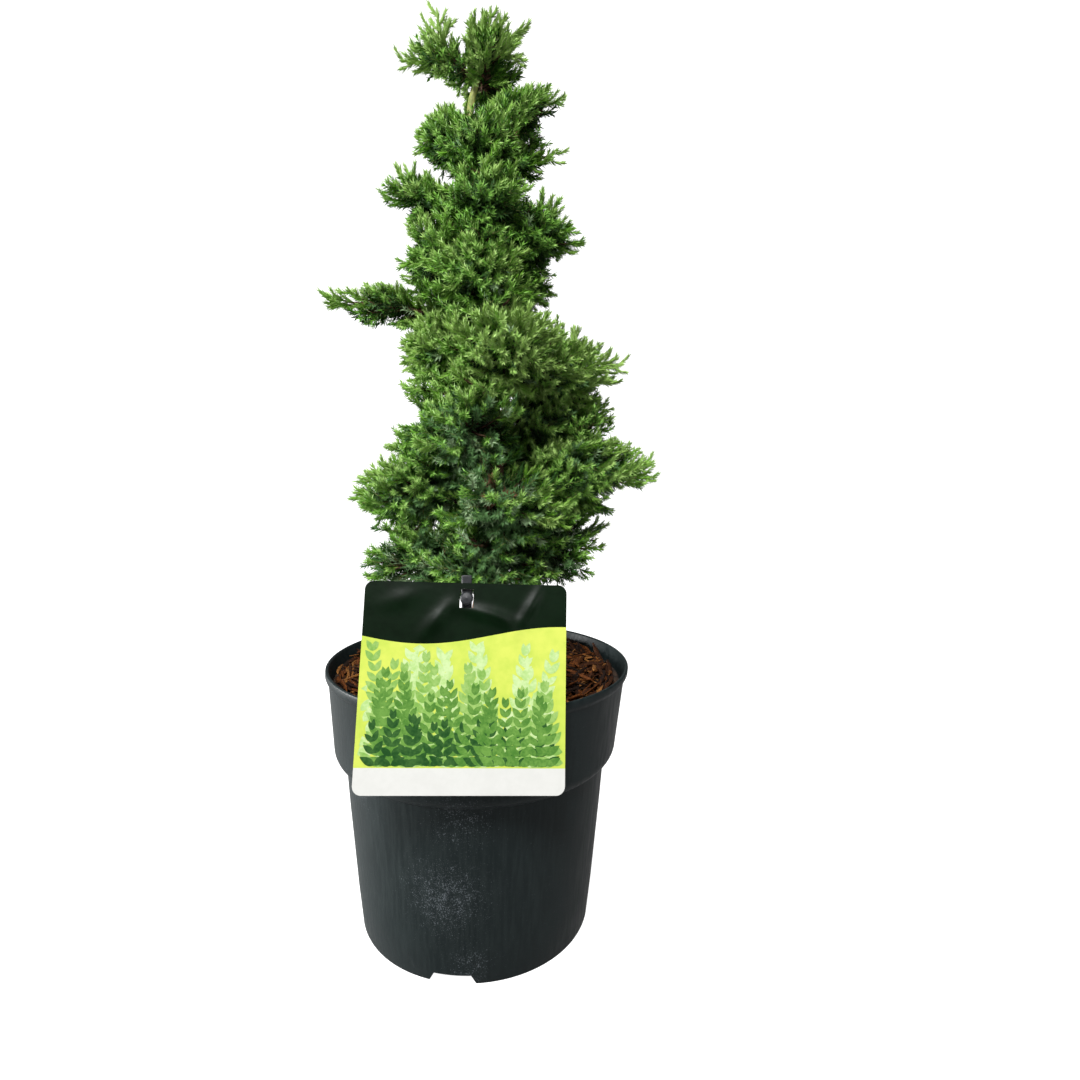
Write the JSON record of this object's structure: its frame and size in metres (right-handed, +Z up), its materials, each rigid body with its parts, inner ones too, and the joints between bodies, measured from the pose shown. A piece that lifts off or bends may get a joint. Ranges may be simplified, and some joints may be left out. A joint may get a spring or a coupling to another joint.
{
  "type": "potted dwarf garden juniper",
  "caption": "Dwarf garden juniper trained as a slim upright cone, in a round plastic nursery pot with bark mulch and a blank plant label on a peg.",
  "frame": {"origin": "centre of the pot's flat underside", "axes": "+Z up along the pot's axis, -Y towards the label's side"},
  "size_m": [0.2338, 0.2265, 0.6209],
  "materials": {
    "pot": "near-black polypropylene, satin, with pale dust and scuffs",
    "soil": "shredded reddish-brown bark mulch on potting mix",
    "bark": "thin brown bark that peels in strips",
    "foliage": "short awl-shaped needles, bright green at the tips and blue-green inside",
    "label": "glossy printed plastic card",
    "peg": "dark plastic"
  },
  "bodies": {
    "root": {"pot": "pot", "soil": "soil", "label_card": "label", "label_peg": "peg", "trunk": "bark", "bough_upper_left": "bark", "bough_upper_right": "bark", "bough_arm_left": "bark", "bough_waist_back": "bark", "bough_belt_front": "bark", "bough_belt_right": "bark", "bough_belt_back": "bark", "bough_middle_right": "bark", "bough_middle_front": "bark", "bough_low_right": "bark", "bough_low_left": "bark", "bough_low_front": "bark", "bough_low_back": "bark", "bough_inner_back": "bark", "bough_foot_left": "bark", "bough_foot_right": "bark", "bough_foot_front": "bark", "bough_foot_back": "bark", "foliage_crown_tip": "foliage", "foliage_top_left": "foliage", "foliage_top_back": "foliage", "foliage_high_right": "foliage", "foliage_high_left": "foliage", "foliage_high_back": "foliage", "foliage_high_front": "foliage", "foliage_neck_right": "foliage", "foliage_upper_left": "foliage", "foliage_upper_right": "foliage", "foliage_upper_front": "foliage", "foliage_upper_back": "foliage", "foliage_shoulder_left": "foliage", "foliage_arm_left": "foliage", "foliage_waist_right": "foliage", "foliage_waist_front": "foliage", "foliage_waist_back": "foliage", "foliage_belt_left": "foliage", "foliage_belt_front": "foliage", "foliage_belt_right": "foliage", "foliage_belt_back": "foliage", "foliage_middle_left": "foliage", "foliage_middle_right": "foliage", "foliage_middle_front": "foliage", "foliage_low_right": "foliage", "foliage_low_left": "foliage", "foliage_low_front": "foliage", "foliage_low_back": "foliage", "foliage_inner_back": "foliage", "foliage_foot_left": "foliage", "foliage_foot_right": "foliage", "foliage_foot_front": "foliage", "foliage_foot_back": "foliage"}
  },
  "joints": []
}
